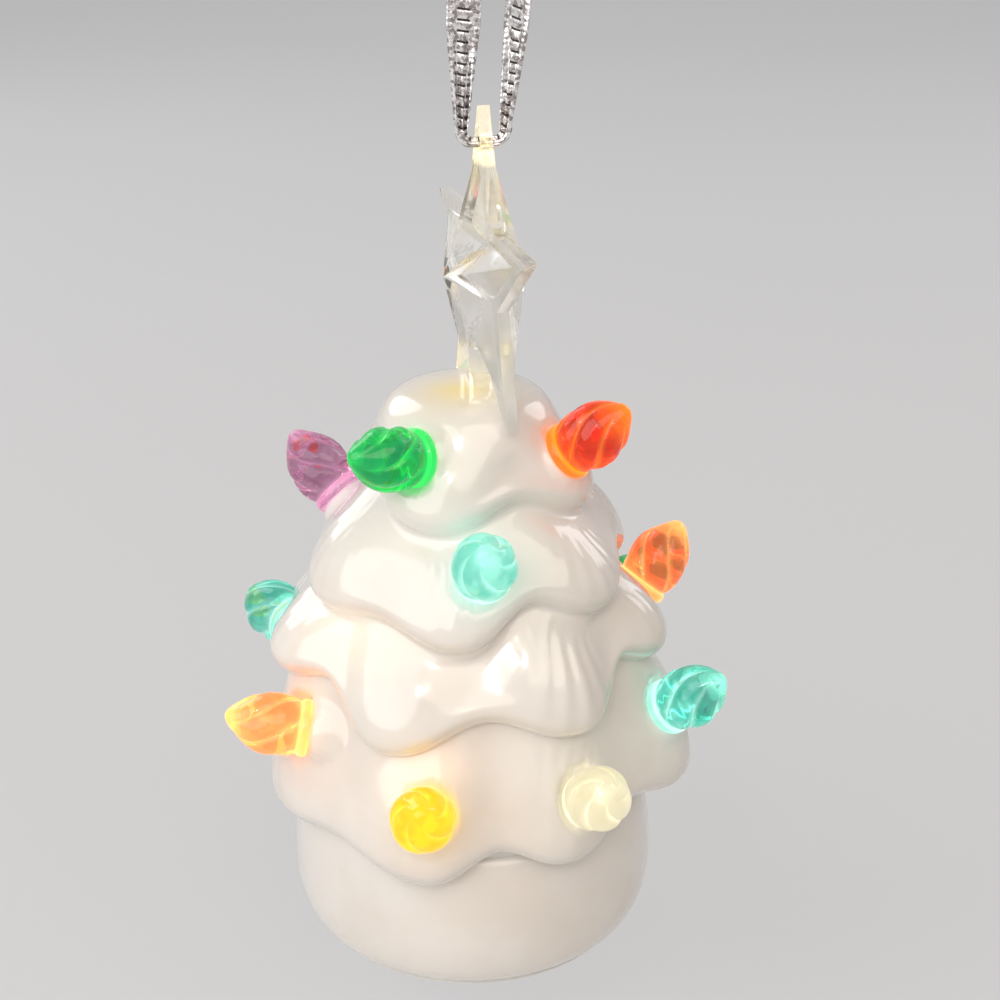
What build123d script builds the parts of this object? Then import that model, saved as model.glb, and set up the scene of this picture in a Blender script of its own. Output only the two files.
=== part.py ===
"""A small battery-lit ceramic tree ornament that hangs from a ribbon loop.

The tree is built standing on its underside, with the tree's axis as Z and azimuth 0 towards -Y.
Each finished piece is then carried into the hanging frame, whose origin is the inside of the ribbon
loop's top, where a twig or hook holds it. Lengths are in millimetres and angles in degrees.
"""
import math
import os

from build123d import *

os.makedirs("parts", exist_ok=True)

# Ceramic tree
crown_flat_radius = 3.2
crown_radius = 9.3
crown_round = 4.2
crown_steps = (20, 50, 80)
wall = 2.6
crown_wall = 4.2
lip_round = 1.8
lip_overhang = 2.8
lip_under_up = 0.55
notch_sharpness = 2.4
ring_points = 36
cavity_sides = 16
round_sides = 48

# Shares of a tier's reach and drop at the three rings on its slope
slope_shares = ((0.38, 0.22), (0.74, 0.48), (0.95, 0.76))

# Each tier has its lip's reach, its depth up to the next tier, and how far its notches go in and up
tier_1_reach = 12.4
tier_1_depth = 10.8
tier_1_notch = 2.2
tier_1_notch_rise = 2.8
tier_2_reach = 17.3
tier_2_depth = 10.6
tier_2_notch = 2.0
tier_2_notch_rise = 2.8
tier_3_reach = 20.7
tier_3_depth = 10.4
tier_3_notch = 2.0
tier_3_notch_rise = 2.8
tier_4_reach = 22.6
tier_4_depth = 13.8
tier_4_notch = 1.8
tier_4_notch_rise = 2.2
skirt_lap = 0.8

# Each branch has its azimuth, its extra reach and droop, and the depth of the notch that follows it,
# all as shares of the tier's notch
tier_1_branches = [(-16, 0, 0.45, 0.85), (76, 0.27, 0.5, 1), (150, 0, 0, 1), (222, 0, 0, 1)]
tier_2_branches = [
    (-62, 0.10, -0.14, 0.5), (-3, 0, 0.36, 1), (52, 0.20, -0.29, 1),
    (112, 0, 0, 1), (172, 0, 0.14, 1), (236, 0, 0, 1),
]
tier_3_branches = [
    (-70, 0.45, -1.15, 1), (-25, 0, 0.36, 1), (36, 0, -0.07, 1), (74, 0.25, -1.35, 1),
    (118, 0, -0.4, 1), (165, 0, 0.14, 1), (213, 0, -0.14, 1), (252, 0.10, -0.36, 1),
]
tier_4_branches = [
    (-70, -0.2, -0.14, 0.65), (-12, 0, 0.23, 1), (29, -0.17, -0.18, 1), (78, 0.78, -0.95, 1),
    (126, 0, -0.18, 1), (176, 0, 0.09, 1), (232, 0, -0.09, 1),
]

# Ceramic base
base_belly_radius = 19.9
base_belly_height = 6.2
base_foot_radius = 17.8
base_top_radius = 17.8
base_top_height = 16.0
base_mouth_radius = 15.4
base_lower_steps = (0, 40, 90)
base_upper_steps = (30, 60, 90)
mouth_step = 1.0

# Plastic base plate with its battery bay
plate_rim = 0.8
plate_thickness = 2.2
plate_clearance = 0.15
bay_wall = 1.0
bay_y = 2.0
fit_gap = 0.2

# Button cells lie on their sides, end to end along X
cell_radius = 5.8
cell_height = 5.4
cell_count = 3
cell_cap_radius = 4.6
cell_cap_height = 0.8
contact_thickness = 0.3
contact_width = 7.0
contact_tail = 1.6
spring_length = 2.4
leaf_tip_gap = 1.0
leaf_tip_rise = 2.8
leaf_width = 3.5

# Battery door and its screw
door_thickness = 1.0
door_gap = 0.3
door_ledge = 0.9
door_corner = 1.6
grip_width = 0.8
grip_depth = 0.3
grip_spacing = 2.0
ear_radius = 2.5
screw_radius = 0.85
screw_length = 5.0
screw_head_radius = 1.7
screw_head_height = 0.6
screw_slot_width = 0.45
screw_slot_depth = 0.3
screw_clearance = 0.1
boss_radius = 2.0

# Slide switch
switch_gap = 2.8
switch_length = 8.6
switch_width = 4.4
switch_height = 3.6
knob_length = 2.4
knob_width = 1.8
knob_recess = 0.2
switch_travel = 2.0
slot_gap = 0.3

# Light
board_length = 12.0
board_width = 9.0
board_thickness = 1.2
led_radius = 2.5
led_height = 8.6
led_flange_radius = 2.9
led_flange_height = 1.0
led_leg_width = 0.5
led_leg_gap = 2.54
led_stand = 1.5
led_sides = 16
led_tip_radius = 0.6
resistor_length = 3.6
resistor_radius = 0.9
resistor_y = 3.2
lead_radius = 0.45
lead_sides = 6
lead_rise = 2.4
lead_inset = 0.7

# Twist bulbs
bulb_radius = 3.25
bulb_length = 8.7
bulb_ridges = 8
bulb_twist = 75.0
bulb_collar_radius = 2.95
bulb_collar_height = 1.0
bulb_peg_radius = 1.7
bulb_peg_length = 5.2
bulb_tip_radius = 0.5
bulb_hole_clearance = 0.1
bulb_seat_depth = 0.5
bulb_seat_clearance = 0.15

# Shares of the length and of the radius at the rings between a bulb's collar and its tip
bulb_form = ((0.32, 0.98), (0.50, 1.0), (0.70, 0.80), (0.88, 0.45))

# Each bulb has its tier, its seat's azimuth and share of the tier's depth, and the azimuth and
# elevation that it points to
bulbs = {
    "bulb_1_green": (1, -30, 0.58, -47, 13),
    "bulb_2_red": (1, 66, 0.48, 68, 38),
    "bulb_3_teal": (1, 186, 0.22, 186, 5),
    "bulb_4_purple": (2, -105, 0.77, -121, 40),
    "bulb_5_teal": (2, 6.5, 0.65, 4, 37),
    "bulb_6_amber": (2, 146, 0.55, 146, 28),
    "bulb_7_clear": (2, 202, 0.53, 202, 30),
    "bulb_8_orange": (3, 106, 0.63, 114, 50),
    "bulb_9_green": (3, 127, 0.26, 120, 4),
    "bulb_10_yellow": (3, 172, 0.48, 172, 30),
    "bulb_11_red": (3, 216, 0.52, 216, 30),
    "bulb_12_teal": (3, 259, 0.28, 222, 4),
    "bulb_13_orange": (4, -57, 0.88, -86, 11),
    "bulb_14_yellow": (4, -12, 0.53, 2, 36),
    "bulb_15_clear": (4, 35, 0.54, 12, 35),
    "bulb_16_teal": (4, 72, 0.87, 54, 38),
    "bulb_17_purple": (4, 142, 0.54, 142, 30),
    "bulb_18_green": (4, 176, 0.49, 176, 30),
    "bulb_19_amber": (4, 228, 0.52, 228, 30),
}

# Star
star_radius = 16.5
star_inner_radius = 6.8
star_rise = 11.3
star_azimuth = 15.8
star_offset = 2.0
star_rim = 0.6
star_peak = 4.25
star_peg_radius = 1.7
star_peg_depth = 3.4
star_peg_clearance = 0.1
eye_drop = 3.5
eye_radius = 0.85

# Ribbon loop
ribbon_width = 3.4
ribbon_thickness = 0.4
ribbon_bunch = 1.2
eye_clearance = 0.25
loop_rise = 30.0
left_bow = 1.2
right_bow = 2.0
loop_sway = 1.4
left_turn = 0
right_turn = 65
knot_radius = 2.2
knot_end_radius = 1.5
knot_length = 5.0
knot_waist = 2.4
knot_sides = 8
tail_length = 6.0
tail_lean = 50.0

# A strand's sections: share of its rise, share of its bow, width and thickness
strand_form = (
    (0.0, 0.0, ribbon_bunch, ribbon_bunch), (0.32, 0.55, ribbon_width, ribbon_thickness),
    (0.62, 1.0, ribbon_width, ribbon_thickness), (0.86, 0.62, ribbon_width, ribbon_thickness),
    (1.0, 0.0, ribbon_bunch, ribbon_bunch),
)

# Heights, from the base up
tier_4_height = base_top_height - skirt_lap
tier_3_height = tier_4_height + tier_4_depth
tier_2_height = tier_3_height + tier_3_depth
tier_1_height = tier_2_height + tier_2_depth
crown_height = tier_1_height + tier_1_depth
star_height = crown_height + star_rise
tiers = [
    (tier_1_reach, tier_1_height, tier_1_depth, tier_1_notch, tier_1_notch_rise, tier_1_branches),
    (tier_2_reach, tier_2_height, tier_2_depth, tier_2_notch, tier_2_notch_rise, tier_2_branches),
    (tier_3_reach, tier_3_height, tier_3_depth, tier_3_notch, tier_3_notch_rise, tier_3_branches),
    (tier_4_reach, tier_4_height, tier_4_depth, tier_4_notch, tier_4_notch_rise, tier_4_branches),
]

# The star's own directions: across its face, and through its thickness
star_angle = math.radians(star_azimuth)
across = Vector(math.sin(star_angle), -math.cos(star_angle), 0)
through = Vector(math.cos(star_angle), math.sin(star_angle), 0)
star_foot = through * star_offset
star_centre = star_foot + Vector(0, 0, star_height)
eye = star_centre + Vector(0, 0, star_radius - eye_drop)
hang_point = eye + through * loop_sway + Vector(0, 0, loop_rise)
hang_frame = Location(hang_point * -1)


def keep(piece, name):
    """Carry a finished piece into the hanging frame and write it under its name."""
    placed = piece.moved(hang_frame)
    placed.label = name
    export_step(placed, f"parts/{name}.step")


def lip(tier, azimuth):
    """Reach and height of a tier's lip: full at a branch, drawn in and up at the notch between two."""
    reach, height, depth, notch_in, notch_up, branches = tier
    ordered = sorted((angle % 360, extra, droop, notch) for angle, extra, droop, notch in branches)
    here = azimuth % 360
    index = max((i for i, branch in enumerate(ordered) if branch[0] <= here), default=-1)
    first = ordered[index]
    second = ordered[(index + 1) % len(ordered)]
    share = (here - first[0]) % 360 / ((second[0] - first[0]) % 360)
    blend = (1 - math.cos(math.pi * share)) / 2
    dip = first[3] * math.sin(math.pi * share) ** notch_sharpness
    extra = first[1] * (1 - blend) + second[1] * blend
    droop = first[2] * (1 - blend) + second[2] * blend
    out = reach + notch_in * (extra - dip)
    up = height - notch_up * (droop - dip)
    return out, up


def tree_profile(azimuth):
    """Radius and height of the tree's surface at one azimuth, from the crown down to the neck."""
    lower = crown_radius - crown_round
    rows = [(crown_flat_radius, crown_height)]
    for angle in crown_steps:
        turn = math.radians(angle)
        fall = crown_round * (1 - math.cos(turn))
        rows.append((lower + crown_round * math.sin(turn), crown_height - fall))
    for tier in tiers:
        start_radius, start_height = rows[-1]
        out, up = lip(tier, azimuth)
        for reach_share, drop_share in slope_shares:
            rows.append((
                start_radius + (out - start_radius) * reach_share,
                start_height + (up + lip_round - start_height) * drop_share,
            ))
        rows.append((out, up + lip_round))
        rows.append((out - lip_round, up))
        rows.append((out - lip_overhang, up + lip_under_up))
    rows.append((base_top_radius + fit_gap, base_top_height))
    return rows


def turned_points(rings, sides, twist=0):
    """Corners of regular polygons, one for each (height, radius, share of the twist)."""
    points = []
    for height, radius, share in rings:
        for side in range(sides):
            turn = math.radians(360 * side / sides + twist * share)
            points.append(Vector(radius * math.cos(turn), radius * math.sin(turn), height))
    return points


def polar(radius, height, azimuth):
    """A point at a radius and height, with azimuth 0 towards -Y and growing towards +X."""
    angle = math.radians(azimuth)
    return Vector(radius * math.sin(angle), -radius * math.cos(angle), height)


def surface_radius(azimuth, height):
    """Radius of the outermost slope of the tree at an azimuth and height."""
    rows = tree_profile(azimuth)
    found = []
    for (r1, z1), (r2, z2) in zip(rows, rows[1:]):
        if z2 <= height <= z1:
            found.append(r1 + (r2 - r1) * (z1 - height) / (z1 - z2))
    return max(found)


def bulb_seat(tier_number, azimuth, share, aim, elevation):
    """The plane that a bulb's collar sits on, a little below the glaze, facing where the bulb points."""
    tier = tiers[tier_number - 1]
    height = tier[1] + share * tier[2]
    rise = math.radians(elevation)
    direction = polar(math.cos(rise), math.sin(rise), aim)
    origin = polar(surface_radius(azimuth, height), height, azimuth) - direction * bulb_seat_depth
    return Plane(origin, z_dir=direction)


seats = {name: bulb_seat(*place) for name, place in bulbs.items()}

# Tree shell: rings of points joined by flat triangles, hollowed, then drilled for the bulbs and the star
azimuths = [360 * i / ring_points for i in range(ring_points)]
profiles = [tree_profile(azimuth) for azimuth in azimuths]
rings = []
for row in range(len(profiles[0])):
    rings.append([polar(*profile[row], azimuth) for profile, azimuth in zip(profiles, azimuths)])
skin = [Face(Wire.make_polygon(ring, close=True)) for ring in (rings[0], rings[-1])]
for upper, lower in zip(rings, rings[1:]):
    for i in range(ring_points):
        j = (i + 1) % ring_points
        skin.append(Face(Wire.make_polygon([upper[i], lower[i], lower[j]], close=True)))
        skin.append(Face(Wire.make_polygon([upper[i], lower[j], upper[j]], close=True)))

# The cavity follows the narrowest radius of each undercut, one wall inside it
cavity = [(base_mouth_radius - mouth_step, base_top_height)]
for tier in reversed(tiers[:3]):
    reach, height, depth, notch_in, notch_up, branches = tier
    cavity.append((reach - notch_in - lip_overhang - wall, height + 0.5 * notch_up))
cavity.append((crown_radius - crown_round, crown_height - crown_wall))

seat_radius = (bulb_radius + bulb_seat_clearance) / math.cos(math.radians(180 / bulb_ridges))
with BuildPart() as bulb_hole:
    with BuildSketch():
        RegularPolygon(bulb_peg_radius + bulb_hole_clearance, bulb_ridges)
    extrude(amount=-(bulb_peg_length + wall))
    with BuildSketch():
        RegularPolygon(seat_radius, bulb_ridges)
    extrude(amount=bulb_length)

with BuildPart() as tree_shell:
    add(Solid(Shell(skin)))
    for radius, height in cavity:
        with BuildSketch(Plane.XY.offset(height)):
            RegularPolygon(radius, cavity_sides)
    loft(ruled=True, mode=Mode.SUBTRACT)
    with Locations(star_foot + Vector(0, 0, crown_height)):
        Cylinder(star_peg_radius + star_peg_clearance, 4 * wall, mode=Mode.SUBTRACT)
    with Locations(*seats.values()):
        add(bulb_hole.part, mode=Mode.SUBTRACT)
keep(tree_shell.part, "tree_shell")

# Base ring: a squat rounded drum, open below for the plate
foot_swell = base_belly_radius - base_foot_radius
top_swell = base_belly_radius - base_top_radius
belly_rise = base_belly_height - plate_rim
belly_drop = base_top_height - base_belly_height
drum = []
for step in base_lower_steps:
    turn = math.radians(step)
    radius = base_foot_radius + foot_swell * math.sin(turn)
    drum.append((base_belly_height - belly_rise * math.cos(turn), radius, 0))
for step in base_upper_steps:
    turn = math.radians(step)
    radius = base_top_radius + top_swell * math.cos(turn)
    drum.append((base_belly_height + belly_drop * math.sin(turn), radius, 0))
with BuildPart() as base_ring:
    ConvexPolyhedron(turned_points(drum, round_sides))
    with BuildSketch(Plane.XY.offset(plate_rim)):
        RegularPolygon(base_mouth_radius, round_sides)
    extrude(amount=base_top_height - plate_rim, mode=Mode.SUBTRACT)
keep(base_ring.part, "base_ring")

# Base plate: a thin rim under the ceramic, a plug inside it, and a bay that opens downwards
bay_length = 2 * contact_thickness + cell_count * cell_height + spring_length
bay_width = 2 * (cell_radius + fit_gap)
bay_floor = door_thickness
bay_roof = bay_floor + 2 * (cell_radius + fit_gap)
plug_radius = base_mouth_radius - plate_clearance
door_length = bay_length + 2 * door_ledge
door_width = bay_width + 2 * door_ledge
ear_x = 0.5 * door_length + 0.6 * ear_radius
bay_centre = (0, bay_y)
switch_y = bay_y - 0.5 * (bay_width + switch_width) - bay_wall - switch_gap

with BuildPart() as base_plate:
    with BuildSketch():
        RegularPolygon(base_foot_radius - fit_gap, round_sides)
    extrude(amount=plate_rim)
    with BuildSketch(Plane.XY.offset(plate_rim)):
        RegularPolygon(plug_radius, round_sides)
    extrude(amount=plate_thickness - plate_rim)
    with BuildSketch(Plane.XY.offset(plate_thickness)):
        with Locations(bay_centre):
            Rectangle(bay_length + 2 * bay_wall, bay_width + 2 * bay_wall)
        with Locations((ear_x, bay_y)):
            Circle(boss_radius)
    extrude(amount=bay_roof + bay_wall - plate_thickness)
    with BuildSketch():
        with Locations(bay_centre):
            Rectangle(bay_length, bay_width)
    extrude(amount=bay_roof, mode=Mode.SUBTRACT)
    with BuildSketch():
        with Locations(bay_centre):
            RectangleRounded(door_length + 2 * door_gap, door_width + 2 * door_gap, door_corner)
        with Locations((ear_x, bay_y)):
            Circle(ear_radius + door_gap)
    extrude(amount=door_thickness, mode=Mode.SUBTRACT)
    with Locations((ear_x, bay_y, door_thickness)):
        Cylinder(
            screw_radius + screw_clearance, screw_length,
            align=(Align.CENTER, Align.CENTER, Align.MIN), mode=Mode.SUBTRACT)
    with BuildSketch():
        with Locations((0, switch_y)):
            Rectangle(knob_length + switch_travel + 2 * slot_gap, knob_width + 2 * slot_gap)
    extrude(amount=plate_thickness, mode=Mode.SUBTRACT)
    tail_slot = contact_thickness + fit_gap
    with BuildSketch(Plane.XY.offset(bay_roof)):
        for side in (-1, 1):
            with Locations((side * 0.5 * (bay_length - tail_slot), bay_y)):
                Rectangle(tail_slot, contact_tail + 2 * fit_gap)
    extrude(amount=bay_wall, mode=Mode.SUBTRACT)
keep(base_plate.part, "base_plate")

# Battery door: a flat lid with a round ear for its screw
with BuildPart() as battery_door:
    with BuildSketch():
        with Locations(bay_centre):
            RectangleRounded(door_length, door_width, door_corner)
        with Locations((ear_x, bay_y)):
            Circle(ear_radius)
    extrude(amount=door_thickness)
    with Locations((ear_x, bay_y, 0)):
        Cylinder(screw_radius + screw_clearance, 4 * door_thickness, mode=Mode.SUBTRACT)
        Cylinder(screw_head_radius + screw_clearance, 2 * screw_head_height, mode=Mode.SUBTRACT)
    with BuildSketch():
        with Locations((-0.25 * door_length, bay_y)):
            for step in (-1, 0, 1):
                with Locations((grip_spacing * step, 0)):
                    Rectangle(grip_width, 0.5 * door_width)
    extrude(amount=grip_depth, mode=Mode.SUBTRACT)
keep(battery_door.part, "battery_door")

# Door screw: a flat head with a slot, and its shank
with BuildPart() as door_screw:
    with Locations((ear_x, bay_y, 0)):
        Cylinder(screw_head_radius, screw_head_height, align=(Align.CENTER, Align.CENTER, Align.MIN))
        Cylinder(screw_radius, screw_length, align=(Align.CENTER, Align.CENTER, Align.MIN))
        Box(2 * screw_head_radius, screw_slot_width, 2 * screw_slot_depth, mode=Mode.SUBTRACT)
keep(door_screw.part, "door_screw")

# Button cells: a wide can with a smaller cap at its other end
bay_start = -0.5 * bay_length
cell_z = bay_floor + cell_radius + fit_gap
for index in range(cell_count):
    start = bay_start + contact_thickness + index * cell_height
    with BuildPart() as button_cell:
        with BuildSketch(Plane.YZ.offset(start)):
            with Locations((bay_y, cell_z)):
                Circle(cell_radius)
        extrude(amount=cell_height - cell_cap_height)
        with BuildSketch(Plane.YZ.offset(start + cell_height - cell_cap_height)):
            with Locations((bay_y, cell_z)):
                Circle(cell_cap_radius)
        extrude(amount=cell_cap_height)
    keep(button_cell.part, f"button_cell_{index + 1}")

# Contacts: a flat tab at one end of the bay and a bent leaf spring at the other
tail_top = bay_roof + bay_wall + contact_tail
with BuildPart() as contact_plate:
    with BuildSketch(Plane.YZ.offset(bay_start)):
        with Locations((bay_y, cell_z)):
            Rectangle(contact_width, contact_width)
        with Locations((bay_y, 0.5 * (cell_z + tail_top))):
            Rectangle(contact_tail, tail_top - cell_z)
    extrude(amount=contact_thickness)
keep(contact_plate.part, "contact_plate")

cells_end = bay_start + contact_thickness + cell_count * cell_height
bay_end = 0.5 * bay_length
with BuildPart() as contact_spring:
    with BuildSketch(Plane.YZ.offset(bay_end - contact_thickness)):
        with Locations((bay_y, cell_z)):
            Rectangle(contact_width, contact_width)
        with Locations((bay_y, 0.5 * (cell_z + tail_top))):
            Rectangle(contact_tail, tail_top - cell_z)
    extrude(amount=contact_thickness)
    with BuildSketch(Plane.XZ.offset(-bay_y)):
        with BuildLine():
            leaf_low = cell_z - 0.5 * contact_width
            back = bay_end - contact_thickness
            tip = back - leaf_tip_gap
            Polyline(
                (back, leaf_low), (back, leaf_low + 2 * contact_thickness),
                (cells_end + contact_thickness, cell_z), (tip, cell_z + leaf_tip_rise),
                (tip - contact_thickness, cell_z + leaf_tip_rise), (cells_end, cell_z), close=True)
        make_face()
    extrude(amount=0.5 * leaf_width, both=True)
keep(contact_spring.part, "contact_spring")

# Light board on the bay's roof, with the lamp and its resistor
board_z = bay_roof + bay_wall
with BuildPart() as led_board:
    with BuildSketch(Plane.XY.offset(board_z)):
        with Locations(bay_centre):
            Rectangle(board_length, board_width)
    extrude(amount=board_thickness)
keep(led_board.part, "led_board")

board_top = board_z + board_thickness
lamp_foot = board_top + led_stand
flange_top = lamp_foot + led_flange_height
dome_foot = lamp_foot + led_height - led_radius
dome_side = led_radius * math.sin(math.radians(45))
lamp_rings = [
    (flange_top, led_radius, 0), (dome_foot, led_radius, 0),
    (dome_foot + dome_side, dome_side, 0), (dome_foot + led_radius, led_tip_radius, 0),
]
with BuildPart() as led:
    with BuildSketch(Plane.XY.offset(lamp_foot)):
        RegularPolygon(led_flange_radius, led_sides)
    extrude(amount=led_flange_height)
    ConvexPolyhedron(turned_points(lamp_rings, led_sides))
    with Locations((-0.5 * led_leg_gap, 0, lamp_foot), (0.5 * led_leg_gap, 0, lamp_foot)):
        Box(led_leg_width, led_leg_width, led_stand, align=(Align.CENTER, Align.CENTER, Align.MAX))
keep(led.part, "led")

with BuildPart() as resistor:
    with BuildSketch(Plane.YZ.offset(-0.5 * resistor_length)):
        with Locations((bay_y + resistor_y, board_top + resistor_radius)):
            Circle(resistor_radius)
    extrude(amount=resistor_length)
keep(resistor.part, "resistor")

# Slide switch: a metal-cased body on the plate, and the knob that shows below
with BuildPart() as switch_body:
    with BuildSketch(Plane.XY.offset(plate_thickness)):
        with Locations((0, switch_y)):
            Rectangle(switch_length, switch_width)
    extrude(amount=switch_height)
    with BuildSketch(Plane.XY.offset(plate_thickness)):
        with Locations((0, switch_y)):
            Rectangle(knob_length + switch_travel + 2 * slot_gap, knob_width + 2 * slot_gap)
    extrude(amount=0.5 * switch_height, mode=Mode.SUBTRACT)
keep(switch_body.part, "switch_body")

knob_top = plate_thickness + 0.5 * switch_height - slot_gap
with BuildPart() as switch_knob:
    with BuildSketch(Plane.XY.offset(knob_top)):
        with Locations((-0.5 * switch_travel, switch_y)):
            Rectangle(knob_length, knob_width)
    extrude(amount=-(knob_top - knob_recess))
keep(switch_knob.part, "switch_knob")


def lead(route, name):
    """A thin insulated wire along straight runs."""
    with BuildPart() as wire:
        with BuildLine():
            path = Polyline(*route)
        with BuildSketch(Plane(path @ 0, z_dir=path % 0)):
            RegularPolygon(lead_radius, lead_sides)
        sweep(transition=Transition.RIGHT)
    keep(wire.part, name)


# Leads: from each contact's tail and from the switch to the board
tail_x = 0.5 * bay_length + lead_radius
tail_z = tail_top - 0.5 * contact_tail
lead_z = tail_z + lead_rise
board_end = -0.5 * board_length + lead_inset
board_side = bay_y - 0.5 * board_width + lead_inset
switch_end = 0.5 * switch_length - lead_inset
switch_top = plate_thickness + switch_height
lead(
    [(-tail_x, bay_y, tail_z), (-tail_x, bay_y, lead_z),
     (board_end, bay_y, lead_z), (board_end, bay_y, board_top)],
    "lead_positive")
lead(
    [(tail_x, bay_y, tail_z), (tail_x, bay_y, lead_z),
     (switch_end, switch_y, lead_z), (switch_end, switch_y, switch_top)],
    "lead_negative")
lead(
    [(-switch_end, switch_y, switch_top), (-switch_end, switch_y, lead_z),
     (-switch_end, board_side, lead_z), (-switch_end, board_side, board_top)],
    "lead_switch")

# Twist bulb: a faceted flame whose ridges turn as they rise from the collar to the tip, on a peg
bulb_rings = [(0, bulb_collar_radius, 0), (bulb_collar_height, bulb_collar_radius, 0)]
for length_share, radius_share in bulb_form:
    bulb_rings.append((length_share * bulb_length, radius_share * bulb_radius, length_share))
bulb_rings.append((bulb_length, bulb_tip_radius, 1))
with BuildPart() as bulb:
    ConvexPolyhedron(turned_points(bulb_rings, bulb_ridges, bulb_twist))
    with BuildSketch():
        RegularPolygon(bulb_peg_radius, bulb_ridges)
    extrude(amount=-bulb_peg_length)
for name, seat in seats.items():
    keep(bulb.part.moved(seat.location), name)

# Star: a five-pointed rim with a ridged pyramid on each face, a peg below and an eye near its top
star_plane = Plane(star_centre, x_dir=across, z_dir=through * -1)
star_corners = []
for point in range(10):
    reach = star_inner_radius if point % 2 else star_radius
    turn = math.radians(90 + 36 * point)
    star_corners.append((reach * math.cos(turn), reach * math.sin(turn)))
peg_length = star_height - 0.5 * star_inner_radius - crown_height + star_peg_depth
with BuildPart() as star:
    with BuildSketch(star_plane.offset(-star_rim)):
        with BuildLine():
            Polyline(*star_corners, close=True)
        make_face()
    extrude(amount=2 * star_rim)
    for side in (-1, 1):
        with BuildSketch(star_plane.offset(side * star_rim)) as face_outline:
            with BuildLine():
                Polyline(*star_corners, close=True)
            make_face()
        apex = star_centre + through * (side * star_peak)
        loft(sections=[face_outline.sketch.face(), Vertex(*apex)], ruled=True)
    with Locations(star_foot + Vector(0, 0, crown_height - star_peg_depth)):
        Cylinder(star_peg_radius, peg_length, align=(Align.CENTER, Align.CENTER, Align.MIN))
    with Locations(Plane(eye, z_dir=through)):
        Cylinder(eye_radius, 4 * star_peak, mode=Mode.SUBTRACT)
keep(star.part, "star")

# Ribbon loop: gathered where it passes through the eye, then one flat strand up each side to the knot
eye_half = star_rim + (star_peak - star_rim) * eye_drop / star_radius
strand_foot = eye_half + 0.5 * ribbon_bunch + eye_clearance
strand_start = 0.8 * ribbon_bunch
with BuildPart() as ribbon_eye:
    with Locations(Plane(eye, z_dir=through)):
        Cylinder(0.5 * ribbon_bunch, 2 * (strand_foot + 0.5 * ribbon_bunch))
    for side in (-1, 1):
        with Locations(Plane(eye + through * (side * strand_foot))):
            Box(
                ribbon_bunch, ribbon_bunch, strand_start,
                align=(Align.CENTER, Align.CENTER, Align.MIN), rotation=(0, 0, star_azimuth))
keep(ribbon_eye.part, "ribbon_eye")


def strand(side, turn, bow_size, name):
    """One side of the loop: gathered at the eye, spread flat, bowed out, and gathered again at the knot."""
    angle = math.radians(turn)
    broad = through * math.cos(angle) + across * math.sin(angle)
    foot = eye + through * (side * strand_foot) + Vector(0, 0, strand_start)
    top = hang_point + through * (side * 0.5 * ribbon_bunch)
    bow = through * (side * bow_size)
    with BuildPart() as ribbon:
        for share, bow_share, width, thick in strand_form:
            place = foot + (top - foot) * share + bow * bow_share
            with BuildSketch(Plane(place, x_dir=broad)):
                Rectangle(width, thick)
        loft(ruled=True)
    keep(ribbon.part, name)


strand(-1, left_turn, left_bow, "ribbon_left")
strand(1, right_turn, right_bow, "ribbon_right")

# Knot on the top of the loop: a short barrel of wraps, with the ribbon's two cut ends
knot_flat = knot_radius * math.cos(math.radians(180 / knot_sides))
knot_centre = hang_point + Vector(0, 0, knot_flat)
knot_axis = Plane(knot_centre, x_dir=across, z_dir=through)
knot_rings = [
    (-0.5 * knot_length, knot_end_radius, 1), (-0.5 * knot_waist, knot_radius, 1),
    (0.5 * knot_waist, knot_radius, 1), (0.5 * knot_length, knot_end_radius, 1),
]
with BuildPart(knot_axis) as ribbon_knot:
    ConvexPolyhedron(turned_points(knot_rings, knot_sides, 180 / knot_sides))
    for side in (-1, 1):
        lean = math.radians(side * tail_lean)
        outward = across * math.sin(lean) + Vector(0, 0, math.cos(lean))
        with BuildSketch(Plane(knot_centre, x_dir=through, z_dir=outward)):
            Rectangle(ribbon_width, ribbon_thickness)
        extrude(amount=knot_radius + tail_length)
keep(ribbon_knot.part, "ribbon_knot")
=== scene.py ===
# %% [markdown]
# # A small lit ceramic christmas tree on a ribbon
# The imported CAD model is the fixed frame: it gives the places, the sizes and the moving bodies.
# Around it we make what a camera sees: the poured and glazed tree, the twisted bulbs, the woven
# ribbon. Each shape is a formula on a grid, worked out by numpy.

import bpy
import numpy as np
from mathutils import Matrix


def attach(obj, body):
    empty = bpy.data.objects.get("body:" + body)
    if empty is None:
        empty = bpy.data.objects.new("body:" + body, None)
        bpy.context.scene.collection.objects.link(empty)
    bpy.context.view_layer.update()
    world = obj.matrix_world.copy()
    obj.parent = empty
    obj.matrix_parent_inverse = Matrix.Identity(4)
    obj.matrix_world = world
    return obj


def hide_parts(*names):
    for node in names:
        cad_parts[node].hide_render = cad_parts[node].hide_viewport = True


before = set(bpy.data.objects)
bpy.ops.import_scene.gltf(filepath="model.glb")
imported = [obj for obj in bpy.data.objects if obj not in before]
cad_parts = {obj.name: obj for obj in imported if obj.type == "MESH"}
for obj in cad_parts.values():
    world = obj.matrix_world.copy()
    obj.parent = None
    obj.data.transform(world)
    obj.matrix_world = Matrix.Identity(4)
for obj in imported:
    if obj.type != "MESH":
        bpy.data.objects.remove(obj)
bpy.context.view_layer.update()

scene = bpy.context.scene
scene.view_settings.view_transform = "Standard"


def add_object(name, data):
    """A new object for some data, linked to the scene."""
    made = bpy.data.objects.new(name, data)
    scene.collection.objects.link(made)
    return made


def placed(axes, place):
    """A matrix with three axes as its columns, and a place."""
    matrix = np.eye(4)
    matrix[:3] = np.column_stack([*axes, place])
    return Matrix(matrix.tolist())


def unit(vectors):
    """Vectors of length 1, along the last axis."""
    return vectors / np.linalg.norm(vectors, axis=-1, keepdims=True)


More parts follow.
